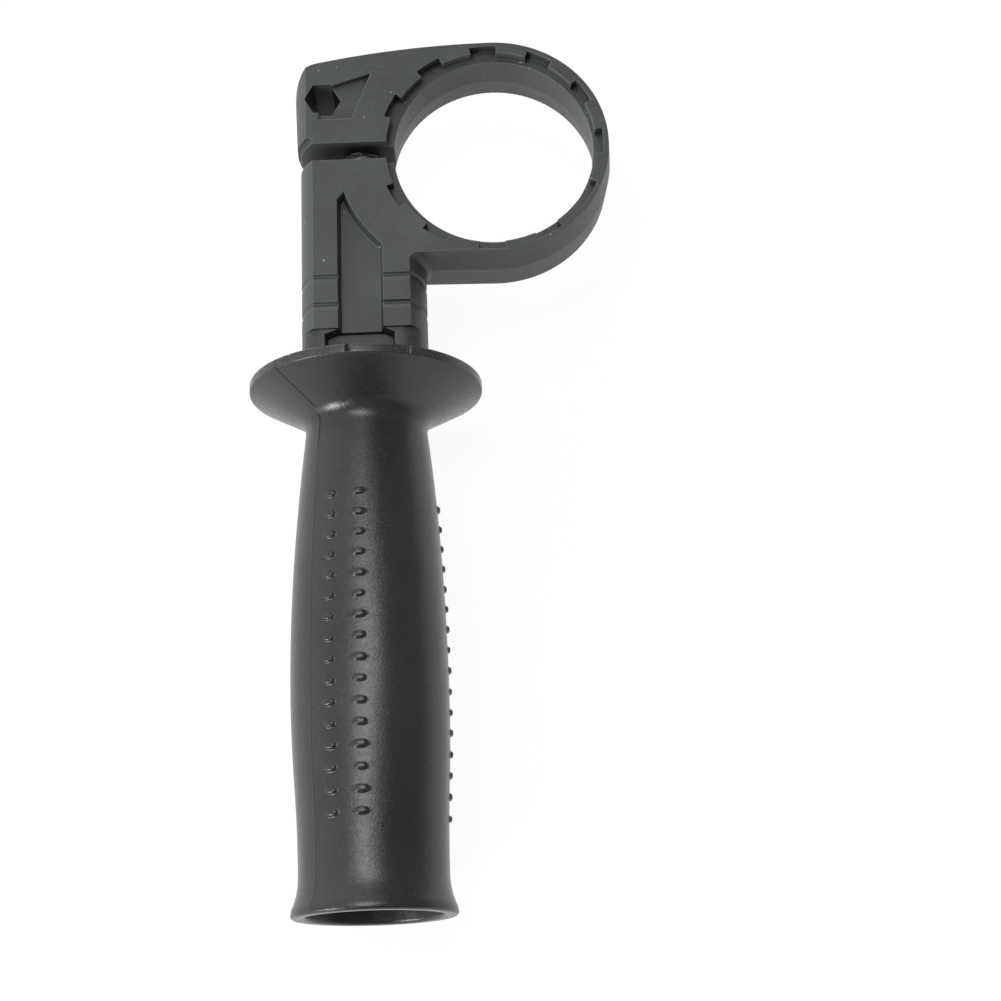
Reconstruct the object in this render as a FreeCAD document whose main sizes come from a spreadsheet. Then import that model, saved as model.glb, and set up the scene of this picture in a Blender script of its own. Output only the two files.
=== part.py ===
import FreeCAD, Part
import math
import os
import Sketcher
from FreeCAD import Placement, Rotation, Vector

# Side handle for a hand-held power tool: a split collar band on a column,
# closed by a bolt that the hollow grip pulls down as it is turned.
# Frame: origin at the centre of the collar bore, +Z along the bore,
# +Y along the handle from the grip to the ear. Millimetres.

SIZES = {
    # Collar ring
    "bore_radius": 21.9,
    "ring_wall": 3.85,
    "ring_rise": 0.2,
    "arm_slope": 1.2,
    "band_draft": 3.4,
    "bore_flare": 0.9,
    "bore_flare_depth": 6.8,
    "collar_depth": 17.6,
    # Castellated recess in the front of the ring
    "recess_depth": 2.7,
    "tooth_ledge": 1.1,
    "notch_ledge": 2.7,
    "recess_shift": 0.55,
    "notch_side_count": 5,
    "notch_pitch": 30.6,
    "notch_turn": 0.7,
    "notch_width": 14.0,
    # Ear and slit
    "slit_gap": 4.1,
    "ring_slit_rise": 0.5,
    "ear_slit_rise": 0.85,
    "ear_end_radius": 14.65,
    "ear_lean": 0.45,
    "ear_corner_radius": 6.3,
    "ear_top_radius": 210.0,
    "rod_socket_across": 6.9,
    "rod_socket_left": 8.0,
    "rod_socket_height": 13.05,
    "relief_depth": 1.6,
    "relief_left": 8.9,
    "relief_right": 2.7,
    "relief_corner": 1.6,
    "relief_low_height": 7.9,
    "relief_left_height": 15.25,
    "relief_right_height": 18.9,
    # Column
    "axis_offset": 29.3,
    "column_radius": 13.6,
    "foot_height": 10.1,
    "foot_recess": 0.6,
    "foot_flat": 16.0,
    "foot_corner_past": 0.03,
    "pocket_left": 5.1,
    "pocket_right": 4.6,
    "pocket_depth": 2.2,
    "pocket_draft": 17.0,
    "pocket_arc_radius": 30.9,
    "pocket_arc_shift": 3.45,
    "pocket_apex_angle": 198.3,
    "window_left": 8.1,
    "window_right": 6.9,
    "window_depth": 2.6,
    "window_draft": 12.0,
    "window_shoulder": 1.1,
    "groove_width": 1.9,
    "groove_depth": 0.6,
    "groove_side_depth": 0.35,
    "groove_bed_rise": 0.55,
    "groove_upper_height": 21.64,
    "groove_lower_height": 15.24,
    "arm_fillet_radius": 1.6,
    # Bolt and nut, metric 8 mm, coarse thread
    "bolt_radius": 4.0,
    "bolt_past_nut": 3.35,
    "bolt_clearance": 0.05,
    "head_across": 13.0,
    "head_thickness": 5.3,
    "head_recess": 0.25,
    "head_clearance": 0.3,
    "nut_thickness": 6.5,
    "nut_depth": 16.06,
    "hex_bevel_angle": 30.0,
    "bolt_end_cut": 0.9,
    # Grip
    "flange_radius": 24.84,
    "flange_rim": 2.06,
    "flange_bevel": 0.5,
    "neck_radius": 12.9,
    "neck_fillet_radius": 2.5,
    "neck_depth": 9.2,
    "neck_steps": 2,
    "barrel_steps": 7,
    "flare_steps": 3,
    "belly_radius": 16.18,
    "belly_depth": 65.0,
    "waist_radius": 15.09,
    "flare_length": 6.3,
    "end_radius": 16.5,
    "grip_length": 110.1,
    "lip_length": 1.7,
    "lip_radius": 0.8,
    "lip_slope": 0.25,
    "mouth_radius": 13.73,
    "mouth_length": 6.0,
    "hollow_radius": 12.7,
    "hollow_top_depth": 27.0,
    "hub_clearance": 0.4,
    # Raised nubs of the grip
    "nub_rows": 16,
    "nub_first_depth": 26.2,
    "nub_pitch": 4.33,
    "nub_width": 2.3,
    "nub_height": 1.6,
    "nub_rise": 0.55,
    "nub_root": 0.8,
    "nub_pair_angle": 23.4,
    "nub_start_angle": 3.9,
    # Seat of the column on the grip, below the bore centre
    "seat_depth": 51.69,
}

doc = FreeCAD.newDocument("side_handle")
sheet = doc.addObject("Spreadsheet::Sheet", "Sizes")
for row, (alias, number) in enumerate(SIZES.items(), start=1):
    sheet.set(f"A{row}", alias)
    sheet.set(f"B{row}", str(number))
    sheet.setAlias(f"B{row}", alias)
doc.recompute()


def size(alias):
    return float(sheet.get(alias))


def bind(obj, path, formula):
    """Bind a property to the sheet; sheet names stand bare in formula."""
    words = formula.replace("(", " ( ").replace(")", " ) ").split()
    bound = [f"Sizes.{word}" if word in SIZES else word for word in words]
    obj.setExpression(path, " ".join(bound))


def new_body(name):
    body = doc.addObject("PartDesign::Body", name)
    body.Label = name
    return body


def new_sketch(body, name, role, moves=None):
    """Sketch on an origin plane; moves binds the offset along its own axes."""
    sketch = body.newObject("Sketcher::SketchObject", name)
    plane = [f for f in body.Origin.OriginFeatures if f.Role == role][0]
    sketch.AttachmentSupport = [(plane, "")]
    sketch.MapMode = "FlatFace"
    for axis, formula in (moves or {}).items():
        bind(sketch, f"AttachmentOffset.Base.{axis}", formula)
    return sketch


def add_circle(sketch, radius_formula):
    """Circle about the sketch origin with its radius bound to the sheet."""
    index = sketch.addGeometry(Part.Circle(Vector(0, 0, 0), Vector(0, 0, 1), 1.0), False)
    sketch.addConstraint(Sketcher.Constraint("Coincident", index, 3, -1, 1))
    number = sketch.addConstraint(Sketcher.Constraint("Radius", index, 1.0))
    sketch.renameConstraint(number, "radius")
    bind(sketch, "Constraints.radius", radius_formula)


def add_outline(sketch, points):
    """Closed outline. A point is (x, y); (x, y, through_x, through_y) ends an arc."""
    start = points[-1]
    for point in points:
        here = Vector(start[0], start[1], 0)
        there = Vector(point[0], point[1], 0)
        if len(point) == 4:
            edge = Part.Arc(here, Vector(point[2], point[3], 0), there)
        else:
            edge = Part.LineSegment(here, there)
        sketch.addGeometry(edge, False)
        start = point


def add_hexagon(sketch, across):
    """Hexagon about the sketch origin, flats up and down, corners left and right."""
    radius = across / math.sqrt(3)
    corners = []
    for corner in range(6):
        angle = math.radians(60 * corner)
        corners.append((radius * math.cos(angle), radius * math.sin(angle)))
    add_outline(sketch, corners)


def feature(body, kind, name, sketch, **settings):
    made = body.newObject("PartDesign::" + kind, name)
    made.Profile = sketch
    for key, value in settings.items():
        setattr(made, key, value)
    return made


def cut_check(body, cut, before):
    """Stop if a cut took nothing away, as one that points outward would."""
    doc.recompute()
    if not body.Shape.Volume < before - 0.001:
        raise RuntimeError(f"{cut.Name} removes nothing from {body.Label}")


def pocket(body, name, sketch, **settings):
    doc.recompute()
    before = body.Shape.Volume
    made = feature(body, "Pocket", name, sketch, **settings)
    cut_check(body, made, before)
    return made


def groove(body, name, sketch):
    doc.recompute()
    before = body.Shape.Volume
    made = feature(body, "Groove", name, sketch, Angle=360.0)
    made.ReferenceAxis = (sketch, ["V_Axis"])
    cut_check(body, made, before)
    return made


def fillet(body, name, radius_formula, chosen):
    """Round the edges of the body's tip for which chosen(edge) is true."""
    doc.recompute()
    base = body.Tip
    names = [f"Edge{number}" for number, edge in enumerate(base.Shape.Edges, start=1)
             if chosen(edge)]
    if not names:
        raise RuntimeError(f"{name} finds no edge on {body.Label}")
    made = body.newObject("PartDesign::Fillet", name)
    made.Base = (base, names)
    bind(made, "Radius", radius_formula)
    doc.recompute()
    return made


def polar(angle, radius):
    turn = math.radians(angle)
    return radius * math.cos(turn), radius * math.sin(turn)


AXIS_X = -size("axis_offset")
HALF_DEPTH = size("collar_depth") / 2
HALF_SLIT = size("slit_gap") / 2
SEAT_Y = -size("seat_depth")
RING_R = size("bore_radius") + size("ring_wall")
RING_TOP = size("ring_rise") + RING_R
RING_LOW = size("ring_rise") - RING_R
EAR_LEFT_X = AXIS_X - size("ear_end_radius")
PAST_ALL = size("seat_depth") + size("axis_offset")


def ear_top(x):
    """Height of the ear's gently arched top above the bore centre."""
    radius = size("ear_top_radius")
    return RING_TOP - radius + math.sqrt(radius ** 2 - x ** 2)


def on_recess(angle, radius):
    """Point of the recess, whose centre is shifted from the bore's to the column."""
    x, y = polar(angle + size("notch_turn"), radius)
    return x - size("recess_shift"), y


def recess_outline():
    """Toothed outline: notches either side of the ray away from the column."""
    half = size("notch_width") / 2
    sides = int(size("notch_side_count"))
    tooth = size("bore_radius") + size("tooth_ledge")
    notch = size("bore_radius") + size("notch_ledge")
    pitch = size("notch_pitch")
    points = []
    for step in range(-sides, sides + 1):
        middle = step * pitch
        gap_middle = middle - pitch / 2
        if step == -sides:
            gap_middle = 180.0
        points.append(on_recess(middle - half, tooth) + on_recess(gap_middle, tooth))
        points.append(on_recess(middle - half, notch))
        points.append(on_recess(middle + half, notch) + on_recess(middle, notch))
        points.append(on_recess(middle + half, tooth))
    return points


def make_clamp_band():
    body = new_body("clamp_band")

    # Ear, ring and arm in one outline, the slit's ear side stepped inside the boss
    outline = new_sketch(body, "band_outline", "XY_Plane")
    corner = size("ear_corner_radius")
    top_r = size("ear_top_radius")
    corner_x = EAR_LEFT_X + corner
    corner_y = RING_TOP - top_r + math.sqrt((top_r - corner) ** 2 - corner_x ** 2)
    lean = math.asin(-corner_x / (top_r - corner))
    join_x = -top_r * math.sin(lean)
    mid_lean = (math.pi / 2 + lean) / 2
    mid_x = corner_x - corner * math.sin(mid_lean)
    mid_y = corner_y + corner * math.cos(mid_lean)
    ear_low = HALF_SLIT + size("ear_slit_rise")
    slope = math.radians(size("arm_slope"))
    arm_x = -RING_R * math.sin(slope)
    arm_y = size("ring_rise") - RING_R * math.cos(slope)
    add_outline(outline, [
        (EAR_LEFT_X + size("ear_lean"), ear_low),
        (EAR_LEFT_X, corner_y),
        (join_x, ear_top(join_x), mid_x, mid_y),
        (0.0, RING_TOP, join_x / 2, ear_top(join_x / 2)),
        (arm_x, arm_y, RING_R, size("ring_rise")),
        (AXIS_X, arm_y + (arm_x - AXIS_X) * math.tan(slope)),
        (AXIS_X, ear_low),
    ])
    band = feature(body, "Pad", "band", outline, SideType="Symmetric")
    bind(band, "Length", "collar_depth")
    bind(band, "TaperAngle", "- band_draft")

    # Round end of the ear, about the bolt's axis
    end_r = size("ear_end_radius")
    half_end = math.sqrt(end_r ** 2 - HALF_DEPTH ** 2)
    rounding = new_sketch(body, "ear_end_section", "XZ_Plane", {"x": "- axis_offset"})
    add_outline(rounding, [(-PAST_ALL, -HALF_DEPTH), (-half_end, -HALF_DEPTH),
                           (-half_end, HALF_DEPTH, -end_r, 0.0), (-PAST_ALL, HALF_DEPTH)])
    pocket(body, "ear_end", rounding, Type="Length", Length=PAST_ALL)

    # Slit through ear and ring
    slit = new_sketch(body, "slit_outline", "XY_Plane")
    slit_top = HALF_SLIT + size("ring_slit_rise")
    add_outline(slit, [(-PAST_ALL, -HALF_SLIT), (0.0, -HALF_SLIT), (0.0, slit_top),
                       (AXIS_X, slit_top), (AXIS_X, ear_low), (-PAST_ALL, ear_low)])
    pocket(body, "slit", slit, SideType="Symmetric", Type="Length", Length=4 * HALF_DEPTH)

    # Column: a round bar with flats front and back, and the boss above the slit
    half_flat = math.sqrt(size("column_radius") ** 2 - HALF_DEPTH ** 2)
    column_r = size("column_radius")
    section = [(-half_flat, HALF_DEPTH), (-half_flat, -HALF_DEPTH, -column_r, 0.0),
               (half_flat, -HALF_DEPTH), (half_flat, HALF_DEPTH, column_r, 0.0)]
    shaft = new_sketch(body, "column_section", "XZ_Plane", {"x": "- axis_offset",
                                                             "z": "slit_gap / 2"})
    add_outline(shaft, section)
    column = feature(body, "Pad", "column", shaft)
    bind(column, "Length", "seat_depth - slit_gap / 2")
    boss_sketch = new_sketch(body, "boss_section", "XZ_Plane", {"x": "- axis_offset",
                                                                 "z": "- slit_gap / 2"})
    add_outline(boss_sketch, section)
    boss = feature(body, "Pad", "ear_boss", boss_sketch, Reversed=True)
    bind(boss, "Length", "ear_slit_rise * 4")

    # Rounded corner under the arm
    def under_arm(edge):
        box = edge.BoundBox
        low = RING_LOW - 0.01 < box.YMin and box.YMax < RING_LOW + HALF_DEPTH / 4
        beside = AXIS_X < box.XMin and box.XMax < AXIS_X + column_r + 0.01
        return low and beside and box.ZLength > HALF_DEPTH / 2

    fillet(body, "arm_corner", "arm_fillet_radius", under_arm)

    # Bore, flared toward the back
    bore = new_sketch(body, "bore_circle", "XY_Plane")
    add_circle(bore, "bore_radius")
    pocket(body, "bore", bore, SideType="Symmetric", Type="Length", Length=4 * HALF_DEPTH)
    flare = new_sketch(body, "bore_flare_section", "XZ_Plane")
    add_outline(flare, [(size("bore_radius"), -HALF_DEPTH),
                        (size("bore_radius") + size("bore_flare"), -HALF_DEPTH),
                        (size("bore_radius"), -HALF_DEPTH + size("bore_flare_depth"))])
    groove(body, "bore_flare", flare)

    # Castellated recess in the front of the ring
    teeth = new_sketch(body, "recess_teeth", "XY_Plane", {"z": "collar_depth / 2"})
    add_outline(teeth, recess_outline())
    recess = pocket(body, "recess", teeth, Type="Length", Length=size("recess_depth"))
    bind(recess, "Length", "recess_depth")

    # Foot of the column, set back below the pads and rounded into its sides; the
    # round corner is tangent to a circle a hair outside the column's
    foot_z = HALF_DEPTH - size("foot_recess")
    half_foot = size("foot_flat") / 2
    past_r = column_r + size("foot_corner_past")
    corner_r = (past_r ** 2 - half_foot ** 2 - foot_z ** 2) / (2 * (past_r - foot_z))
    corner_z = foot_z - corner_r
    end_angle = math.degrees(math.atan2(corner_z, half_foot))
    turn_mid = polar((90 + end_angle) / 2, corner_r)
    turn_end = polar(end_angle, corner_r)
    foot = new_sketch(body, "foot_section", "XZ_Plane", {"x": "- axis_offset",
                                                          "z": "seat_depth"})
    add_outline(foot, [
        (-half_foot - turn_end[0], corner_z + turn_end[1]),
        (-half_foot, foot_z, -half_foot - turn_mid[0], corner_z + turn_mid[1]),
        (half_foot, foot_z),
        (half_foot + turn_end[0], corner_z + turn_end[1],
         half_foot + turn_mid[0], corner_z + turn_mid[1]),
        (PAST_ALL, corner_z + turn_end[1]),
        (PAST_ALL, PAST_ALL),
        (-PAST_ALL, PAST_ALL),
        (-PAST_ALL, corner_z + turn_end[1]),
    ])
    set_back = pocket(body, "foot", foot, Type="Length", Length=size("foot_height"))
    bind(set_back, "Length", "foot_height")

    # Pocket in the front flat, its upper end arched about a point near the bore's centre
    foot_y = SEAT_Y + size("foot_height")
    shoulder_y = foot_y - size("window_shoulder")
    left_x = AXIS_X - size("pocket_left")
    right_x = AXIS_X + size("pocket_right")
    arc_r = size("pocket_arc_radius")
    arc_x = -size("pocket_arc_shift")
    apex_angle = size("pocket_apex_angle")
    low_angle = 180.0 + math.degrees(math.acos((arc_x - right_x) / arc_r))
    arc = []
    for angle in (apex_angle, (apex_angle + low_angle) / 2, low_angle):
        x, y = polar(angle, arc_r)
        arc.append((arc_x + x, y))
    apex, arc_mid, arc_low = arc
    front = new_sketch(body, "pocket_outline", "XY_Plane", {"z": "collar_depth / 2"})
    add_outline(front, [(left_x, shoulder_y), (left_x, apex[1] - size("groove_width")), apex,
                        arc_low + arc_mid, (right_x, shoulder_y)])
    face_pocket = pocket(body, "face_pocket", front, Type="Length",
                         Length=size("pocket_depth"), TaperAngle=-size("pocket_draft"))
    bind(face_pocket, "Length", "pocket_depth")

    # Deeper window with sloped walls in the foot below the pocket
    window = new_sketch(body, "window_outline", "XY_Plane",
                        {"z": "collar_depth / 2 - foot_recess"})
    window_low_y = SEAT_Y - size("window_depth")
    window_left_x = AXIS_X - size("window_left")
    window_right_x = AXIS_X + size("window_right")
    add_outline(window, [(window_left_x, window_low_y), (window_left_x, shoulder_y),
                         (left_x, foot_y), (right_x, foot_y),
                         (window_right_x, shoulder_y), (window_right_x, window_low_y)])
    opening = pocket(body, "window", window, Type="Length", Length=size("window_depth"),
                     TaperAngle=-size("window_draft"))
    bind(opening, "Length", "window_depth")

    # Two grooves round the column, across both flats and round its sides, each with
    # a steep upper and a gentle lower wall
    half_width = size("groove_width") / 2
    deep = HALF_DEPTH - size("groove_depth")
    round_deep = column_r - size("groove_side_depth")
    for name in ("upper", "lower"):
        height = SEAT_Y + size(f"groove_{name}_height")
        bed = height + size("groove_bed_rise")
        for side, face in (("front", 1), ("back", -1)):
            vee = new_sketch(body, f"groove_{name}_{side}", "YZ_Plane",
                             {"z": "- axis_offset"})
            add_outline(vee, [(height - half_width, face * HALF_DEPTH),
                              (bed, face * deep),
                              (height + half_width, face * HALF_DEPTH)])
            pocket(body, f"vee_{name}_{side}", vee, SideType="Symmetric", Type="Length",
                   Length=3 * column_r)
        ring = new_sketch(body, f"groove_{name}_round", "XY_Plane", {"x": "- axis_offset"})
        add_outline(ring, [(column_r, height - half_width), (round_deep, bed),
                           (column_r, height + half_width)])
        groove(body, f"vee_{name}_round", ring)

    # Hole for the bolt and the hexagonal seat of its head in the top of the ear
    hole = new_sketch(body, "bolt_hole_circle", "XZ_Plane", {"x": "- axis_offset",
                                                              "z": "seat_depth"})
    add_circle(hole, "bolt_radius + bolt_clearance")
    pocket(body, "bolt_hole", hole, Type="Length", Length=2 * PAST_ALL)
    seat_y = head_seat_y()
    seat = new_sketch(body, "head_seat_outline", "XZ_Plane", {"x": "- axis_offset"})
    seat.AttachmentOffset = Placement(Vector(AXIS_X, 0, -seat_y), Rotation())
    add_hexagon(seat, size("head_across") + 2 * size("head_clearance"))
    pocket(body, "head_seat", seat, Type="Length", Length=PAST_ALL)

    # Hexagonal socket for a depth rod, through the ear beside the bolt
    socket = new_sketch(body, "rod_socket_outline", "XY_Plane",
                        {"x": "- axis_offset - rod_socket_left",
                         "y": "rod_socket_height"})
    add_hexagon(socket, size("rod_socket_across"))
    pocket(body, "rod_socket", socket, SideType="Symmetric", Type="Length",
           Length=4 * HALF_DEPTH)

    # Shallow four-sided relief in the front beside the socket
    relief_left_x = AXIS_X - size("relief_left")
    relief_right_x = AXIS_X + size("relief_right")
    low_y = size("relief_low_height")
    relief = new_sketch(body, "relief_outline", "XY_Plane", {"z": "collar_depth / 2"})
    add_outline(relief, [(relief_left_x, low_y),
                         (relief_left_x, size("relief_left_height")),
                         (relief_right_x, size("relief_right_height")),
                         (AXIS_X - size("relief_corner"), low_y)])
    shallow = pocket(body, "relief", relief, Type="Length", Length=size("relief_depth"))
    bind(shallow, "Length", "relief_depth")
    return body


def head_seat_y():
    """Height of the bolt head's seat; the head's top stays just below the ear's."""
    return ear_top(AXIS_X) - size("head_recess") - size("head_thickness")


def cut_hex_edge(body, name, across, far_y, inward):
    """Bevel a hexagon's corners at one end: a ring turned about the bolt's axis."""
    flat = across * 0.49
    corner = across * 0.6
    drop = (corner - flat) * math.tan(math.radians(size("hex_bevel_angle"))) * inward
    ring = new_sketch(body, name + "_section", "XY_Plane", {"x": "- axis_offset"})
    add_outline(ring, [(flat, far_y), (corner, far_y), (corner, far_y + drop)])
    groove(body, name, ring)


def make_clamp_bolt():
    body = new_body("clamp_bolt")
    seat_y = head_seat_y()
    head_sketch = new_sketch(body, "head_outline", "XZ_Plane")
    head_sketch.AttachmentOffset = Placement(Vector(AXIS_X, 0, -seat_y), Rotation())
    add_hexagon(head_sketch, size("head_across"))
    head = feature(body, "Pad", "head", head_sketch, Reversed=True)
    bind(head, "Length", "head_thickness")
    shank_sketch = new_sketch(body, "shank_circle", "XZ_Plane")
    shank_sketch.AttachmentOffset = Placement(Vector(AXIS_X, 0, -seat_y), Rotation())
    add_circle(shank_sketch, "bolt_radius")
    end_y = nut_top_y() - size("nut_thickness") - size("bolt_past_nut")
    feature(body, "Pad", "shank", shank_sketch, Length=seat_y - end_y)
    doc.recompute()
    cut_hex_edge(body, "head_bevel", size("head_across"),
                 seat_y + size("head_thickness"), -1)
    cut = size("bolt_end_cut")
    radius = size("bolt_radius")
    tip = new_sketch(body, "tip_section", "XY_Plane", {"x": "- axis_offset"})
    add_outline(tip, [(radius, end_y), (radius, end_y + cut), (radius - cut, end_y)])
    groove(body, "tip_bevel", tip)
    return body


def nut_top_y():
    return SEAT_Y - size("nut_depth")


def make_grip_nut():
    body = new_body("grip_nut")
    top_y = nut_top_y()
    blank_sketch = new_sketch(body, "nut_outline", "XZ_Plane")
    blank_sketch.AttachmentOffset = Placement(Vector(AXIS_X, 0, -top_y), Rotation())
    add_hexagon(blank_sketch, size("head_across"))
    blank = feature(body, "Pad", "blank", blank_sketch)
    bind(blank, "Length", "nut_thickness")
    hole = new_sketch(body, "nut_hole_circle", "XZ_Plane")
    hole.AttachmentOffset = Placement(Vector(AXIS_X, 0, -top_y), Rotation())
    add_circle(hole, "bolt_radius + bolt_clearance")
    pocket(body, "nut_hole", hole, SideType="Symmetric", Type="Length", Length=PAST_ALL)
    cut_hex_edge(body, "nut_end_bevel", size("head_across"),
                 top_y - size("nut_thickness"), 1)
    return body


# The grip's heights are measured down from the lower edge of its flange
FLANGE_Y = SEAT_Y - size("flange_rim")


def flare_end():
    return size("grip_length") - size("lip_length")


def waist_depth():
    return flare_end() - size("flare_length")


def grip_radius(depth):
    """Outer radius of the grip below the flange: barrel, waist and end flare."""
    belly = size("belly_depth")
    waist = waist_depth()
    if depth > waist:
        span = size("flare_length")
        rise = size("end_radius") - size("waist_radius")
        bend = (span ** 2 + rise ** 2) / (2 * rise)
        return size("waist_radius") + bend - math.sqrt(bend ** 2 - (depth - waist) ** 2)
    if depth < belly:
        span = belly - size("neck_depth")
        drop = size("belly_radius") - size("neck_radius")
        bend = (span ** 2 + drop ** 2) / (2 * drop)
        return size("belly_radius") - bend + math.sqrt(bend ** 2 - (belly - depth) ** 2)
    half_span = (waist - belly) / 2
    half_drop = (size("belly_radius") - size("waist_radius")) / 2
    bend = (half_span ** 2 + half_drop ** 2) / (2 * half_drop)
    if depth < belly + half_span:
        return size("belly_radius") - bend + math.sqrt(bend ** 2 - (depth - belly) ** 2)
    rest = waist - depth
    return size("waist_radius") + bend - math.sqrt(bend ** 2 - rest ** 2)


def neck_turn(cone):
    """Short straight steps of the hollow corner between the flange and the neck."""
    corner = size("neck_fillet_radius")
    steps = int(size("neck_steps"))
    points = []
    for step in range(steps + 1):
        turn = (math.pi / 2 - cone) * (1 - step / steps)
        points.append((size("neck_radius") + corner * (1 - math.cos(turn)),
                       corner * math.sin(turn) - size("neck_depth")))
    return points


def stations(start, end, steps):
    return [start + (end - start) * step / steps for step in range(1, steps + 1)]


def grip_section():
    """Half section of the grip about its axis: x is radius, y is height.

    Its curves are straight steps, which keep the facets few."""
    neck_d = size("neck_depth")
    waist_d = waist_depth()
    end_d = size("grip_length")
    rim_r = size("flange_radius")
    top = size("flange_rim")
    edge = size("flange_bevel")
    lip = size("lip_radius")
    corner = size("neck_fillet_radius")
    hub_r = size("bolt_radius") + size("hub_clearance")
    # Slope of the flange's underside, a tangent from its rim to the neck's corner
    run = rim_r - size("neck_radius") - corner
    cone = math.atan2(neck_d, run) - math.asin(corner / math.hypot(neck_d, run))
    depths = stations(neck_d, waist_d, int(size("barrel_steps")))
    depths += stations(waist_d, flare_end(), int(size("flare_steps")))
    outer_end = size("end_radius") + (size("lip_length") - lip) * size("lip_slope")
    mouth_r = size("mouth_radius")
    mouth_top = -end_d + size("mouth_length")
    bevel = lip * (1 - math.sqrt(0.5))
    return [
        (hub_r, top),
        (rim_r - edge, top),
        (rim_r, top - edge),
        (rim_r, 0.0),
        *neck_turn(cone),
        *[(grip_radius(depth), -depth) for depth in depths],
        (outer_end, -end_d + lip),
        (outer_end - bevel, -end_d + bevel),
        (outer_end - lip, -end_d),
        (mouth_r + lip, -end_d),
        (mouth_r, -end_d + lip),
        (size("hollow_radius"), mouth_top),
        (size("hollow_radius"), -size("hollow_top_depth")),
        (hub_r, -size("hollow_top_depth")),
    ]


def make_grip():
    turned = doc.addObject("PartDesign::Body", "grip_turned")
    section = new_sketch(turned, "grip_half_section", "XY_Plane",
                         {"x": "- axis_offset", "y": "- seat_depth - flange_rim"})
    add_outline(section, grip_section())
    solid = feature(turned, "Revolution", "grip_body", section, Angle=360.0)
    solid.ReferenceAxis = (section, ["V_Axis"])
    doc.recompute()
    nut_pocket = new_sketch(turned, "nut_pocket_outline", "XZ_Plane")
    nut_pocket.AttachmentOffset = Placement(Vector(AXIS_X, 0, -nut_top_y()), Rotation())
    add_hexagon(nut_pocket, size("head_across") + size("head_clearance"))
    pocket(turned, "nut_pocket", nut_pocket, Reversed=True, Type="Length", Length=PAST_ALL)

    # Three pairs of columns of raised nubs, each nub sunk into the wall
    sunk = size("nub_root")
    nubs = doc.addObject("Part::Feature", "grip_nubs")
    blocks = []
    width = size("nub_width")
    tall = size("nub_height")
    for row in range(int(size("nub_rows"))):
        depth = size("nub_first_depth") + row * size("nub_pitch")
        low = grip_radius(depth) - sunk
        block = Part.makeBox(width, tall, size("nub_rise") + sunk,
                             Vector(-width / 2, -tall / 2, low))
        for third in range(3):
            for pair in range(2):
                angle = -(size("nub_start_angle") + pair * size("nub_pair_angle"))
                nub = block.copy()
                nub.rotate(Vector(0, 0, 0), Vector(0, 1, 0), angle + 120 * third)
                nub.translate(Vector(AXIS_X, FLANGE_Y - depth, 0))
                blocks.append(nub)
    nubs.Shape = Part.makeCompound(blocks)
    grip = doc.addObject("Part::MultiFuse", "grip")
    grip.Shapes = [turned, nubs]
    grip.Label = "grip"
    return grip


nodes = [make_clamp_band(), make_clamp_bolt(), make_grip(), make_grip_nut()]
doc.recompute()

for obj in doc.Objects:
    if "Invalid" in obj.State or "Error" in obj.State:
        raise RuntimeError(f"{obj.Name} failed: {obj.State}")
os.makedirs("parts", exist_ok=True)
for node in nodes:
    shape = node.Shape
    if shape.isNull() or not shape.isValid() or len(shape.Solids) != 1:
        raise RuntimeError(f"{node.Label} has no single valid solid")
    shape.exportStep(f"parts/{node.Label}.step")
    print(f"{node.Label}: {shape.Volume:.1f} mm3, {len(shape.Faces)} faces")
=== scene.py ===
import math
import random
import bpy
from mathutils import Matrix, Vector


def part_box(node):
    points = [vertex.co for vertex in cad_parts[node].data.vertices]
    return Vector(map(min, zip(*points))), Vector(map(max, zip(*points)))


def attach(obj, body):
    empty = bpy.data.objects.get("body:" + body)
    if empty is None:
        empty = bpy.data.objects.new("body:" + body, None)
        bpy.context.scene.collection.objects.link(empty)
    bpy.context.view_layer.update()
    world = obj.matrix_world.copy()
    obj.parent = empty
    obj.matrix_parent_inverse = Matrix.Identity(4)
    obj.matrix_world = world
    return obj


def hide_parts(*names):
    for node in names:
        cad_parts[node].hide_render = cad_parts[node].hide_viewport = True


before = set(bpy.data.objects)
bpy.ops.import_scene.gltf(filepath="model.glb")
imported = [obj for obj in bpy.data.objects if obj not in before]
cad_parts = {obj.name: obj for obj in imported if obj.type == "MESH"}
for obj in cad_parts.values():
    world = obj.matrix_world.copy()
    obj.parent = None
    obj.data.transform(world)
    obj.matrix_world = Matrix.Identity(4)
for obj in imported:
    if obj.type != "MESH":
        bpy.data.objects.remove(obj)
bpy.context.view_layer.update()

# Places and sizes in metres, read from the frame's own boxes
CLAMP_LOW = Vector(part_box("clamp_band")[0])
BOLT_LOW, BOLT_HIGH = (Vector(corner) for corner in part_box("clamp_bolt"))
GRIP_LOW, GRIP_HIGH = (Vector(corner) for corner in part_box("grip"))
NUT_LOW, NUT_HIGH = (Vector(corner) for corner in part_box("grip_nut"))
AXIS_X = (GRIP_LOW.x + GRIP_HIGH.x) / 2
MM = 0.001

# Camera: the photograph looks down the bore, tipped toward the grip's end
IMAGE_PX = 1001
SENSOR_MM = 36.0
FOCAL_PX = 1950.0
CAMERA_TIP = math.radians(17.6)
CAMERA_ROLL = math.radians(-2.18)
CAMERA_PLACE = Vector((-0.00142, -0.20261, 0.39106))

# Light: direction of the bright part of the world, and levels away from it and in it
WINDOW_SIDE = (-0.73, 0.63, 0.26)
WORLD_LEVELS = (0.24, 1.25)

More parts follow.
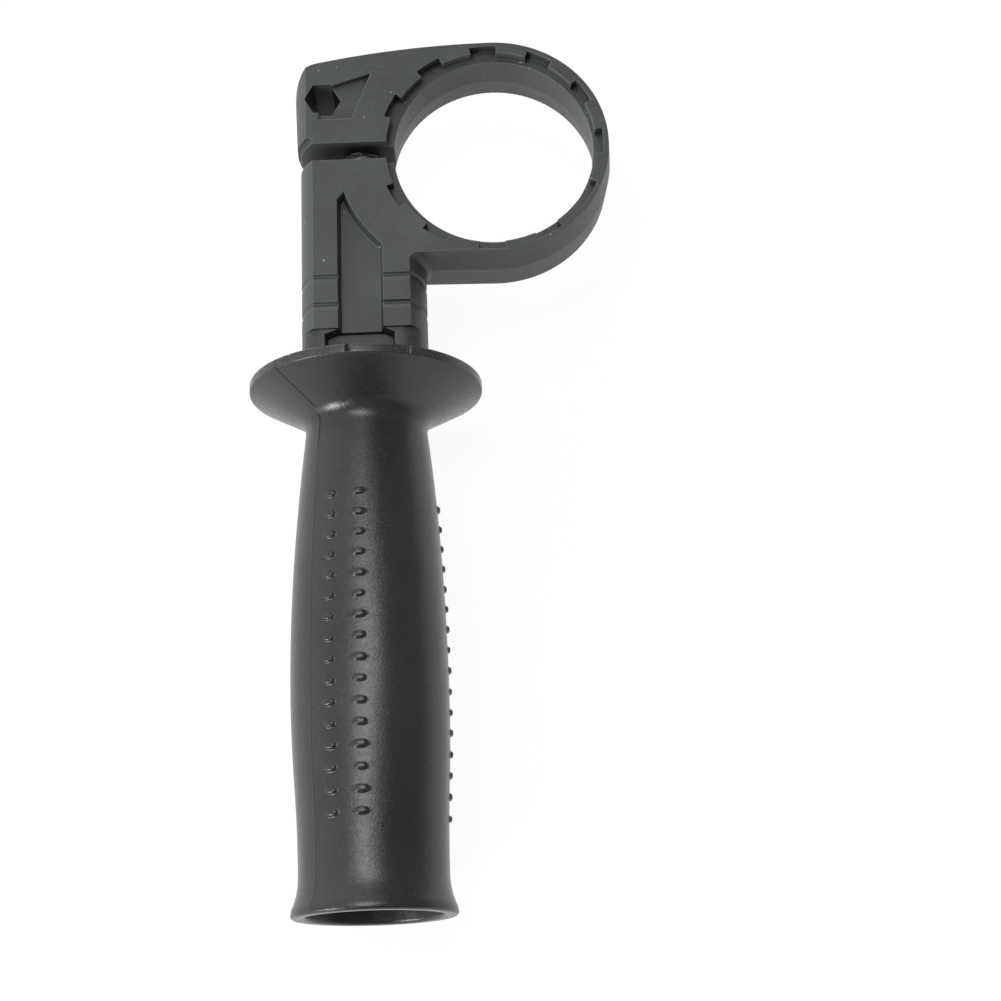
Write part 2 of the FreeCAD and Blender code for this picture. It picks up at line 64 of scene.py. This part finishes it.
# Lamps: place, aim, width, height and watts
LAMPS = {
    "overhead": ((-0.14, 0.02, 0.85), (-0.04, -0.06, 0), 0.5, 0.35, 3.8),
    "behind": ((-0.15, 0.9, 0.42), (-0.03, -0.03, 0), 0.5, 0.25, 2.2),
    "low_left": ((-0.72, -0.66, 0.33), (-0.03, -0.07, 0), 0.28, 0.28, 8.0),
    "right_side": ((0.75, 0.1, 0.45), (-0.03, -0.07, 0), 0.9, 0.9, 0.42),
}

# Grip: radii in millimetres, depths measured down from the flange's lower edge
FLANGE_RADIUS = (GRIP_HIGH.x - GRIP_LOW.x) / 2 / MM
FLANGE_RIM = 2.06
FLANGE_TOP_RADIUS = 24.3
FLANGE_Y = GRIP_HIGH.y / MM - FLANGE_RIM
GRIP_LENGTH = FLANGE_Y - GRIP_LOW.y / MM
RIM_ROUND = 0.5
UNDER_ROUND = 0.35
NECK_RADIUS = 12.9
NECK_DEPTH = 9.2
NECK_ROUND = 4.2
BELLY_RADIUS = 16.18
BELLY_DEPTH = 65.0
WAIST_RADIUS = 15.09
FLARE_RADIUS = 16.5
FLARE_LENGTH = 6.3
LIP_LENGTH = 1.7
WAIST_DEPTH = GRIP_LENGTH - LIP_LENGTH - FLARE_LENGTH
LIP_PAST_FLARE = 0.2
LIP_ROUND = 0.8
MOUTH_RADIUS = 13.73
MOUTH_LENGTH = 6.0
HOLLOW_RADIUS = 12.7
HOLLOW_TOP = 27.0
HUB_RADIUS = 4.4
NUT_CLEARANCE = 0.3
NUT_POCKET_ACROSS = (NUT_HIGH.z - NUT_LOW.z) / MM + NUT_CLEARANCE
NUT_TOP = FLANGE_Y - NUT_HIGH.y / MM
LOBE_RISE = 0.3
LOBE_TURN = 15.6

# Nubs of the grip: three pairs of columns, angles turn from +Z toward +X
NUB_ROWS = 16
NUB_FIRST = 26.2
NUB_PITCH = 4.33
NUB_HALF_WIDTH = 1.36
NUB_HALF_HEIGHT = 0.76
NUB_RISE = 0.6
NUB_REACH = 1.15
NUB_COLUMNS = [120 * third - first for third in range(3) for first in (27.3, 3.9)]
NUB_STEP = 0.62
NUB_STEPS = 9

# Parting lines, and nicks in the flange's rim as angle and depth
PARTING_ANGLES = (-44.5, 135.5)
PARTING_RISE = 0.09
PARTING_WIDTH = 0.13
PARTING_STEP = 0.22
RIM_NICKS = ((-4.5, 0.55), (25.0, 0.3), (-36.0, 0.25))
NICK_WIDTH = 0.8

# Bolt: metric 8 mm with a coarse thread
THREAD_RADIUS = 4.0
THREAD_PITCH = 1.25
THREAD_DEPTH = 0.68
HEAD_ACROSS = (BOLT_HIGH.z - BOLT_LOW.z) / MM
HEAD_THICKNESS = 5.3
HEAD_FACE_SHARE = 0.92
HEAD_CHAMFER_SLOPE = 0.577
PLAIN_SHANK = 2.0
AXIS_HOLE = 0.02


def smooth_step(low, high, value):
    part = min(max((value - low) / (high - low), 0.0), 1.0)
    return part * part * (3 - 2 * part)


def turn_between(angle, other):
    """Degrees from other to angle, from -180 to 180."""
    return (angle - other + 180) % 360 - 180


def stations(start, end, steps):
    """Evenly spaced values after start, up to end."""
    return [start + (end - start) * step / steps for step in range(1, steps + 1)]


def arc(centre, radius, start, end, steps):
    """Points (radius, height) after the arc's first one; 0 degrees is outward, 90 up."""
    points = []
    for angle in stations(start, end, steps):
        turn = math.radians(angle)
        points.append((centre[0] + radius * math.cos(turn),
                       centre[1] + radius * math.sin(turn)))
    return points


def grip_radius(depth):
    """Outer radius below the flange: barrel, waist and end flare, as in the source."""
    if depth > WAIST_DEPTH:
        rise = FLARE_RADIUS - WAIST_RADIUS
        bend = (FLARE_LENGTH ** 2 + rise ** 2) / (2 * rise)
        return WAIST_RADIUS + bend - math.sqrt(bend ** 2 - (depth - WAIST_DEPTH) ** 2)
    if depth < BELLY_DEPTH:
        span = BELLY_DEPTH - NECK_DEPTH
        drop = BELLY_RADIUS - NECK_RADIUS
        bend = (span ** 2 + drop ** 2) / (2 * drop)
        return BELLY_RADIUS - bend + math.sqrt(bend ** 2 - (BELLY_DEPTH - depth) ** 2)
    half_span = (WAIST_DEPTH - BELLY_DEPTH) / 2
    half_drop = (BELLY_RADIUS - WAIST_RADIUS) / 2
    bend = (half_span ** 2 + half_drop ** 2) / (2 * half_drop)
    if depth < BELLY_DEPTH + half_span:
        return BELLY_RADIUS - bend + math.sqrt(bend ** 2 - (depth - BELLY_DEPTH) ** 2)
    return WAIST_RADIUS + bend - math.sqrt(bend ** 2 - (WAIST_DEPTH - depth) ** 2)


def grip_profile():
    """Rows (radius, height, kind) from the hub's top over the outside to the hollow."""
    run = FLANGE_RADIUS - NECK_RADIUS - NECK_ROUND
    cone = math.atan2(NECK_DEPTH, run) - math.asin(NECK_ROUND / math.hypot(NECK_DEPTH, run))
    cone_deg = math.degrees(cone)
    rows = [(HUB_RADIUS, FLANGE_RIM, "plain")]
    rows += [(radius, FLANGE_RIM, "plain") for radius in stations(HUB_RADIUS, FLANGE_TOP_RADIUS, 6)]
    top = (FLANGE_RADIUS - RIM_ROUND, FLANGE_RIM - RIM_ROUND)
    rows += [(r, h, "rim") for r, h in arc(top, RIM_ROUND, 90, 0, 5)]
    under = (FLANGE_RADIUS - UNDER_ROUND, UNDER_ROUND * 0.7)
    rows += [(FLANGE_RADIUS, height, "rim") for height in stations(top[1], under[1], 4)]
    rows += [(r, h, "plain") for r, h in arc(under, UNDER_ROUND, 0, -90 + cone_deg, 5)]
    hollow = (NECK_RADIUS + NECK_ROUND, -NECK_DEPTH)
    turn = arc(hollow, NECK_ROUND, 90 + cone_deg, 180, 8)
    start = (hollow[0] - NECK_ROUND * math.sin(cone), hollow[1] + NECK_ROUND * math.cos(cone))
    last = rows[-1]
    for part in stations(0, 1, 10):
        rows.append((last[0] + (start[0] - last[0]) * part,
                     last[1] + (start[1] - last[1]) * part, "outer"))
    rows += [(r, h, "outer") for r, h in turn]
    nub_start = NUB_FIRST - NUB_REACH
    nub_end = nub_start + NUB_PITCH * (NUB_ROWS - 1) + 2 * NUB_REACH
    flare_depth = GRIP_LENGTH - LIP_LENGTH
    depths = stations(NECK_DEPTH, nub_start, 16)
    for nub in range(NUB_ROWS):
        above = nub_start + nub * NUB_PITCH
        depths += stations(above, above + 2 * NUB_REACH, 17)
        if nub < NUB_ROWS - 1:
            depths += stations(above + 2 * NUB_REACH, above + NUB_PITCH, 3)
    depths += stations(nub_end, WAIST_DEPTH, 10)
    depths += stations(WAIST_DEPTH, flare_depth, 10)
    rows += [(grip_radius(depth), -depth, "outer") for depth in depths]
    lip = (FLARE_RADIUS + LIP_PAST_FLARE - LIP_ROUND, -GRIP_LENGTH + LIP_ROUND)
    rows += [(r, h, "plain") for r, h in arc(lip, LIP_ROUND, 0, -90, 7)]
    inner = (MOUTH_RADIUS + LIP_ROUND, -GRIP_LENGTH + LIP_ROUND)
    rows += [(r, h, "plain") for r, h in arc(inner, LIP_ROUND, -90, -180, 7)]
    rows += [(HOLLOW_RADIUS, -GRIP_LENGTH + MOUTH_LENGTH, "plain")]
    rows += [(HOLLOW_RADIUS, height, "plain")
             for height in stations(-GRIP_LENGTH + MOUTH_LENGTH, -HOLLOW_TOP, 12)]
    rows += [(NUT_POCKET_ACROSS / 2, -HOLLOW_TOP, "hexagon"),
             (NUT_POCKET_ACROSS / 2, -NUT_TOP, "hexagon"),
             (HUB_RADIUS, -NUT_TOP, "plain")]
    return rows


def grip_angles():
    """Angles of the lathe's columns, close together at the nubs and parting lines."""
    angles = {float(angle) for angle in range(0, 360, 4)}
    for column in NUB_COLUMNS:
        angles = {angle for angle in angles if abs(turn_between(angle, column)) >= 6.2}
        angles |= {(column + step * NUB_STEP) % 360 for step in range(-NUB_STEPS, NUB_STEPS + 1)}
    for line in PARTING_ANGLES:
        angles = {angle for angle in angles if abs(turn_between(angle, line)) >= 1.6}
        angles |= {(line + step * PARTING_STEP) % 360 for step in range(-6, 7)}
    for nick, _ in RIM_NICKS:
        angles |= {(nick + step * 0.5) % 360 for step in range(-3, 4)}
    return sorted(angles)


def nub_places():
    """Each nub's column angle, depth, tilt and size, a little uneven as moulded ones are."""
    chance = random.Random(4)
    nubs = []
    for row in range(NUB_ROWS):
        for column in NUB_COLUMNS:
            nubs.append((column, NUB_FIRST + row * NUB_PITCH + chance.uniform(-0.06, 0.06),
                         chance.uniform(-0.1, 0.1), chance.uniform(0.93, 1.07)))
    return nubs


def nub_height(across, down, tilt, scale):
    """Height of a nub's rounded-oblong dome at a place measured from its centre."""
    u = (across + down * tilt) / (NUB_HALF_WIDTH * scale)
    v = (down - across * tilt) / (NUB_HALF_HEIGHT * scale)
    reach = (abs(u) ** 2.6 + abs(v) ** 2.6) ** (1 / 2.6)
    crown = 1 - 0.32 * min(reach, 1.0) ** 2
    return NUB_RISE * scale * crown * (1 - smooth_step(0.6, 1.12, reach))


def outer_rise(angle, radius, depth, nubs):
    """What nubs and parting lines add to the grip's outer radius."""
    rise = 0.0
    for column, nub_depth, tilt, scale in nubs:
        if abs(depth - nub_depth) < NUB_REACH:
            off = turn_between(angle, column)
            if abs(off) < 7:
                rise += nub_height(math.radians(off) * radius, depth - nub_depth, tilt, scale)
    for line in PARTING_ANGLES:
        off = math.radians(turn_between(angle, line)) * radius
        if abs(off) < 0.5:
            rise += PARTING_RISE * math.exp(-(off / PARTING_WIDTH) ** 2)
    swell = math.sin(math.pi * min(max((depth - NECK_DEPTH) / (WAIST_DEPTH - NECK_DEPTH), 0), 1))
    return rise - LOBE_RISE * swell ** 2 * math.cos(math.radians(3 * (angle + LOBE_TURN)))


def mesh_object(name, vertices, faces):
    """Smooth-shaded mesh, linked to the scene."""
    mesh = bpy.data.meshes.new(name)
    mesh.from_pydata(vertices, [], faces)
    mesh.validate()
    mesh.shade_smooth()
    piece = bpy.data.objects.new(name, mesh)
    bpy.context.collection.objects.link(piece)
    return piece


def lathe(name, rows, columns, place):
    """Closed ring of rows turned about the handle's axis; place gives each point."""
    vertices = [place(row, column) for row in rows for column in columns]
    faces = []
    wide = len(columns)
    for row in range(len(rows)):
        below = (row + 1) % len(rows)
        for column in range(wide):
            right = (column + 1) % wide
            faces.append((row * wide + column, below * wide + column,
                          below * wide + right, row * wide + right))
    return mesh_object(name, vertices, faces)


def turned(radius, angle, height):
    """Point about the handle's axis in metres, from millimetres and degrees off +Z."""
    turn = math.radians(angle)
    return (AXIS_X + radius * MM * math.sin(turn), height * MM, radius * MM * math.cos(turn))


def hexagon_radius(half_across, angle):
    """Radius of a hexagon with flats facing +Z and -Z, at an angle turned from +Z."""
    return half_across / math.cos(math.radians((angle + 30) % 60 - 30))


def make_grip():
    nubs = nub_places()
    by_row = {}

    def place(row, angle):
        radius, height, kind = row
        if kind == "hexagon":
            radius = hexagon_radius(radius, angle)
        elif kind == "outer":
            if height not in by_row:
                by_row[height] = [nub for nub in nubs if abs(-height - nub[1]) < NUB_REACH]
            radius += outer_rise(angle, radius, -height, by_row[height])
        elif kind == "rim":
            for nick, deep in RIM_NICKS:
                radius -= deep * math.exp(-(turn_between(angle, nick) / NICK_WIDTH) ** 2)
        return turned(radius, angle, FLANGE_Y + height)

    grip = lathe("grip_moulding", grip_profile(), grip_angles(), place)
    grip.data.set_sharp_from_angle(angle=math.radians(50))
    grip.data.materials.append(semi_gloss_plastic())
    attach(grip, "grip")
    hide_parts("grip")


def make_bolt():
    """Threaded shank with a chamfered hexagon head, in the CAD bolt's place."""
    head_top = BOLT_HIGH.y / MM
    seat = head_top - HEAD_THICKNESS
    end = BOLT_LOW.y / MM
    half = HEAD_ACROSS / 2
    root = THREAD_RADIUS - THREAD_DEPTH
    columns = [step * 7.5 for step in range(48)]
    face = half * HEAD_FACE_SHARE
    rows = [(AXIS_HOLE, head_top, "plain"), (face, head_top, "plain"),
            (half, head_top, "chamfer"), (half, seat + 0.3, "hexagon"),
            (half - 0.3, seat, "hexagon"), (THREAD_RADIUS, seat, "plain")]
    thread_top = seat - PLAIN_SHANK
    drop = THREAD_PITCH / 6
    steps = int((thread_top - end) / drop)
    rows += [(THREAD_RADIUS, thread_top, "plain")]
    rows += [(THREAD_RADIUS, thread_top - drop * step, "thread") for step in range(1, steps)]
    rows += [(root - 0.2, end, "plain"), (AXIS_HOLE, end, "plain")]

    def place(row, angle):
        radius, height, kind = row
        if kind == "hexagon":
            radius = hexagon_radius(radius, angle)
        elif kind == "chamfer":
            radius = hexagon_radius(radius, angle)
            height -= (radius - face) * HEAD_CHAMFER_SLOPE
        elif kind == "thread":
            phase = (height / THREAD_PITCH + angle / 360) % 1.0
            wave = abs(2 * phase - 1)
            fade = smooth_step(0, 1.5, thread_top - height)
            radius -= THREAD_DEPTH * fade * smooth_step(0.15, 0.9, wave)
            radius -= max(0.0, 1.0 - (height - end)) * 0.8
        return turned(radius, angle, height)

    bolt = lathe("bolt_threaded", rows, columns, place)
    bolt.data.set_sharp_from_angle(angle=math.radians(25))
    bolt.data.materials.append(dark_steel())
    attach(bolt, "bolt")
    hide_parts("clamp_bolt")


def add_node(tree, kind, settings=None, values=None):
    """Shader node with its settings and its input values."""
    made = tree.nodes.new("ShaderNode" + kind)
    for name, value in (settings or {}).items():
        setattr(made, name, value)
    for name, value in (values or {}).items():
        made.inputs[name].default_value = value
    return made


def add_noise(tree, coordinates, scale, detail, roughness=0.5):
    made = add_node(tree, "TexNoise", None,
                    {"Scale": scale, "Detail": detail, "Roughness": roughness})
    tree.links.new(coordinates, made.inputs["Vector"])
    return made.outputs["Fac"]


def add_range(tree, source, low, high, from_low=0.3, from_high=0.7):
    made = add_node(tree, "MapRange", None, {"From Min": from_low, "From Max": from_high,
                                             "To Min": low, "To Max": high})
    tree.links.new(source, made.inputs["Value"])
    return made.outputs["Result"]


def add_mix(tree, factor, first, second):
    """Mix of two colours, each a tuple or a socket."""
    made = add_node(tree, "Mix", {"data_type": "RGBA"})
    tree.links.new(factor, made.inputs["Factor"])
    for socket, value in ((made.inputs["A"], first), (made.inputs["B"], second)):
        if isinstance(value, tuple):
            socket.default_value = (*value, 1)
        else:
            tree.links.new(value, socket)
    return made.outputs["Result"]


def add_bump(tree, height, strength, distance, normal=None):
    made = add_node(tree, "Bump", None, {"Strength": strength, "Distance": distance})
    tree.links.new(height, made.inputs["Height"])
    if normal:
        tree.links.new(normal, made.inputs["Normal"])
    return made.outputs["Normal"]


def new_material(name):
    material = bpy.data.materials.new(name)
    material.use_nodes = True
    tree = material.node_tree
    shader = tree.nodes["Principled BSDF"]
    place = add_node(tree, "TexCoord").outputs["Object"]
    return material, tree, shader, place


def edge_mask(tree, radius, low, high):
    """1 on sharp outer and inner edges, 0 on open faces, and the rounded normal."""
    bevel = add_node(tree, "Bevel", {"samples": 6}, {"Radius": radius})
    shape = add_node(tree, "NewGeometry")
    dot = add_node(tree, "VectorMath", {"operation": "DOT_PRODUCT"})
    tree.links.new(bevel.outputs["Normal"], dot.inputs[0])
    tree.links.new(shape.outputs["Normal"], dot.inputs[1])
    mask = add_range(tree, dot.outputs["Value"], high, low, 0.8, 1.0)
    return mask, bevel.outputs["Normal"]


def painted_cavity_shade(tree, reach, lowest):
    """Painted shade: 1 on open faces, lower inside slits, notches and holes, where shade falls."""
    shade = add_node(tree, "AmbientOcclusion", {"samples": 8}, {"Distance": reach})
    return add_range(tree, shade.outputs["AO"], lowest, 1.0, 0.2, 0.55)


def matte_plastic():
    """Grey clamp moulding: fine spark texture, faint flow marks, dust, painted highlights along the
    edges and painted shade in slits, notches and holes.
    """
    material, tree, shader, place = new_material("clamp_matte")
    cloud = add_noise(tree, place, 90, 3)
    speck = add_noise(tree, place, 1500, 2, 0.7)
    mask, rounded = edge_mask(tree, 0.0003, 0.0, 0.8)
    body = add_mix(tree, add_range(tree, cloud, 0.0, 1.0), (0.03, 0.033, 0.034),
                   (0.042, 0.046, 0.047))
    dusty = add_mix(tree, add_range(tree, speck, 0.0, 0.35, 0.54, 0.72), body,
                    (0.085, 0.09, 0.09))
    # Painted highlight: the bevel mask lightens the colour along sharp edges.
    edge_highlighted = add_mix(tree, mask, dusty, (0.17, 0.178, 0.175))
    grit = add_node(tree, "TexVoronoi", None, {"Scale": 250})
    uneven = add_node(tree, "TexNoise", None, {"Scale": 2500, "Detail": 2})
    tree.links.new(place, uneven.inputs["Vector"])
    shaken = add_node(tree, "VectorMath", {"operation": "MULTIPLY_ADD"},
                      {1: (0.0008, 0.0008, 0.0008)})
    tree.links.new(uneven.outputs["Color"], shaken.inputs[0])
    tree.links.new(place, shaken.inputs[2])
    tree.links.new(shaken.outputs[0], grit.inputs["Vector"])
    spots = add_range(tree, grit.outputs["Distance"], 1.0, 0.0, 0.03, 0.055)
    gritty = add_mix(tree, spots, edge_highlighted, (0.46, 0.46, 0.45))
    # Painted shade: inside slits, notches and holes, ambient occlusion takes the colour toward
    # near-black and weakens the reflection.
    unshaded_share = painted_cavity_shade(tree, 0.012, 0.0)
    cavity_shaded = add_mix(tree, unshaded_share, (0.012, 0.013, 0.013), gritty)
    tree.links.new(cavity_shaded, shader.inputs["Base Color"])
    specular = add_range(tree, unshaded_share, 0.12, 0.36, 0.0, 1.0)
    tree.links.new(specular, shader.inputs["Specular IOR Level"])
    tree.links.new(add_range(tree, speck, 0.38, 0.54), shader.inputs["Roughness"])
    grain = add_bump(tree, add_noise(tree, place, 2600, 4, 0.65), 0.65, 0.00006, rounded)
    flow = add_bump(tree, add_noise(tree, place, 220, 2), 0.25, 0.00012, grain)
    tree.links.new(flow, shader.inputs["Normal"])
    return material


def grip_places(tree, place):
    """Distance from the handle's axis, from the parting plane, and the height."""
    parts = add_node(tree, "SeparateXYZ")
    tree.links.new(place, parts.inputs[0])
    shift = add_node(tree, "Math", {"operation": "SUBTRACT"}, {1: AXIS_X})
    tree.links.new(parts.outputs["X"], shift.inputs[0])
    flat = add_node(tree, "CombineXYZ")
    tree.links.new(shift.outputs[0], flat.inputs["X"])
    tree.links.new(parts.outputs["Z"], flat.inputs["Z"])
    outward = add_node(tree, "VectorMath", {"operation": "LENGTH"})
    tree.links.new(flat.outputs[0], outward.inputs[0])
    turn = math.radians(PARTING_ANGLES[0])
    off = add_node(tree, "VectorMath", {"operation": "DOT_PRODUCT"},
                   {1: (math.cos(turn), 0, -math.sin(turn))})
    tree.links.new(flat.outputs[0], off.inputs[0])
    across = add_node(tree, "Math", {"operation": "ABSOLUTE"})
    tree.links.new(off.outputs["Value"], across.inputs[0])
    return outward.outputs["Value"], across.outputs[0], parts.outputs["Y"]


def semi_gloss_plastic():
    """Near-black grip moulding with an orange-peel skin and fine scuffs, and painted shade along
    the parting seam near the flange.
    """
    material, tree, shader, place = new_material("grip_semi_gloss")
    cloud = add_noise(tree, place, 70, 3)
    body = add_mix(tree, add_range(tree, cloud, 0.0, 1.0), (0.012, 0.013, 0.013),
                   (0.018, 0.019, 0.019))
    scuff = add_noise(tree, place, 1100, 3, 0.65)
    worn = add_mix(tree, add_range(tree, scuff, 0.0, 0.4, 0.6, 0.72), body, (0.05, 0.052, 0.05))
    outward, across, height = grip_places(tree, place)
    rim = add_range(tree, outward, 0.0, 1.0, (FLANGE_RADIUS - 0.45) * MM,
                    (FLANGE_RADIUS - 0.2) * MM)
    chalk = add_range(tree, add_noise(tree, place, 2400, 4, 0.7), 0.0, 0.4, 0.48, 0.64)
    rough_rim = add_node(tree, "Math", {"operation": "MULTIPLY"})
    tree.links.new(rim, rough_rim.inputs[0])
    tree.links.new(chalk, rough_rim.inputs[1])
    rimmed = add_mix(tree, rough_rim.outputs[0], worn, (0.1, 0.102, 0.1))
    # Painted shade: a near-black, barely reflective line along the parting seam near the flange, in
    # place of the shade in its groove.
    seam = add_range(tree, across, 1.0, 0.0, 0.07 * MM, 0.16 * MM)
    high = add_range(tree, height, 0.0, 1.0, (FLANGE_Y - 17) * MM, (FLANGE_Y - 13) * MM)
    seam_shade = add_node(tree, "Math", {"operation": "MULTIPLY"})
    tree.links.new(seam, seam_shade.inputs[0])
    tree.links.new(high, seam_shade.inputs[1])
    seam_shaded = add_mix(tree, seam_shade.outputs[0], rimmed, (0.002, 0.002, 0.002))
    tree.links.new(seam_shaded, shader.inputs["Base Color"])
    specular = add_range(tree, seam_shade.outputs[0], 0.5, 0.05, 0.0, 1.0)
    tree.links.new(specular, shader.inputs["Specular IOR Level"])
    shader.inputs["Specular Tint"].default_value = (0.957, 1.0, 0.94, 1)
    tree.links.new(add_range(tree, scuff, 0.25, 0.36), shader.inputs["Roughness"])
    peel = add_bump(tree, add_noise(tree, place, 2200, 4, 0.6), 0.8, 0.00006)
    wave = add_bump(tree, add_noise(tree, place, 160, 2), 0.3, 0.0002, peel)
    tree.links.new(wave, shader.inputs["Normal"])
    return material


def dark_steel():
    """Dulled zinc-plated steel."""
    material, tree, shader, place = new_material("steel_dulled")
    stain = add_noise(tree, place, 400, 4, 0.6)
    body = add_mix(tree, add_range(tree, stain, 0.0, 1.0), (0.15, 0.151, 0.153),
                   (0.25, 0.252, 0.255))
    tree.links.new(body, shader.inputs["Base Color"])
    shader.inputs["Metallic"].default_value = 1.0
    tree.links.new(add_range(tree, stain, 0.32, 0.5), shader.inputs["Roughness"])
    scratch = add_bump(tree, add_noise(tree, place, 5000, 2), 0.2, 0.00004)
    tree.links.new(scratch, shader.inputs["Normal"])
    return material


def dress_cad_node(node, material):
    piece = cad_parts[node]
    piece.data.materials.clear()
    piece.data.materials.append(material)


def make_camera():
    back = Vector((0, -math.sin(CAMERA_TIP), math.cos(CAMERA_TIP)))
    up = Vector((0, math.cos(CAMERA_TIP), math.sin(CAMERA_TIP)))
    right = Vector((1, 0, 0))
    turned_right = right * math.cos(CAMERA_ROLL) + up * math.sin(CAMERA_ROLL)
    turned_up = up * math.cos(CAMERA_ROLL) - right * math.sin(CAMERA_ROLL)
    lens = bpy.data.cameras.new("camera")
    lens.sensor_width = SENSOR_MM
    lens.lens = FOCAL_PX / IMAGE_PX * SENSOR_MM
    camera = bpy.data.objects.new("camera", lens)
    axes = Matrix((turned_right, turned_up, back)).transposed().to_4x4()
    camera.matrix_world = Matrix.Translation(CAMERA_PLACE) @ axes
    bpy.context.collection.objects.link(camera)
    bpy.context.scene.camera = camera
    bpy.context.scene.view_settings.view_transform = "Standard"


def make_world():
    """White to the camera; for the light a low level, brighter to the upper left."""
    world = bpy.data.worlds.new("studio")
    bpy.context.scene.world = world
    world.use_nodes = True
    tree = world.node_tree
    tree.nodes.clear()
    light = add_node(tree, "Background", None, {"Color": (1, 1, 1, 1)})
    toward = add_node(tree, "TexCoord").outputs["Generated"]
    facing = add_node(tree, "VectorMath", {"operation": "DOT_PRODUCT"}, {1: WINDOW_SIDE})
    tree.links.new(toward, facing.inputs[0])
    level = add_range(tree, facing.outputs["Value"], *WORLD_LEVELS, 0.36, 0.95)
    tree.links.new(level, light.inputs["Strength"])
    seen = add_node(tree, "Background", None, {"Color": (1, 1, 1, 1), "Strength": 1.0})
    mix = add_node(tree, "MixShader")
    path = add_node(tree, "LightPath")
    out = add_node(tree, "OutputWorld")
    tree.links.new(path.outputs["Is Camera Ray"], mix.inputs["Fac"])
    tree.links.new(light.outputs[0], mix.inputs[1])
    tree.links.new(seen.outputs[0], mix.inputs[2])
    tree.links.new(mix.outputs[0], out.inputs["Surface"])


def area_light(name, place, aim, wide, high, watts):
    """Rectangular lamp; sizes in metres."""
    data = bpy.data.lights.new(name, "AREA")
    data.shape = "RECTANGLE"
    data.size = wide
    data.size_y = high
    data.energy = watts
    lamp = bpy.data.objects.new(name, data)
    lamp.location = place
    lamp.rotation_euler = (Vector(aim) - Vector(place)).to_track_quat("-Z", "Y").to_euler()
    bpy.context.collection.objects.link(lamp)


def make_floor():
    """White floor to the camera and in reflections, with a faint part of the shadow."""
    low = min(CLAMP_LOW.z, GRIP_LOW.z) - 0.0002
    bpy.ops.mesh.primitive_plane_add(size=6.0, location=(0, 0, low))
    floor = bpy.context.object
    floor.name = "floor"
    material = bpy.data.materials.new("floor_white")
    material.use_nodes = True
    tree = material.node_tree
    shader = tree.nodes["Principled BSDF"]
    shader.inputs["Base Color"].default_value = (0.85, 0.85, 0.85, 1)
    shader.inputs["Roughness"].default_value = 0.9
    glow = add_node(tree, "Emission", None, {"Color": (1, 1, 1, 1), "Strength": 1.05})
    path = add_node(tree, "LightPath")
    seen = add_node(tree, "Math", {"operation": "MAXIMUM"})
    share = add_node(tree, "Math", {"operation": "MULTIPLY"}, {1: 0.88})
    mix = add_node(tree, "MixShader")
    tree.links.new(path.outputs["Is Camera Ray"], seen.inputs[0])
    tree.links.new(path.outputs["Is Glossy Ray"], seen.inputs[1])
    tree.links.new(seen.outputs[0], share.inputs[0])
    tree.links.new(share.outputs[0], mix.inputs["Fac"])
    tree.links.new(shader.outputs[0], mix.inputs[1])
    tree.links.new(glow.outputs[0], mix.inputs[2])
    tree.links.new(mix.outputs[0], tree.nodes["Material Output"].inputs["Surface"])
    floor.data.materials.append(material)


make_camera()
make_world()
make_floor()
for lamp_name, lamp_settings in LAMPS.items():
    area_light(lamp_name, *lamp_settings)
make_grip()
make_bolt()
dress_cad_node("clamp_band", matte_plastic())
dress_cad_node("grip_nut", dark_steel())
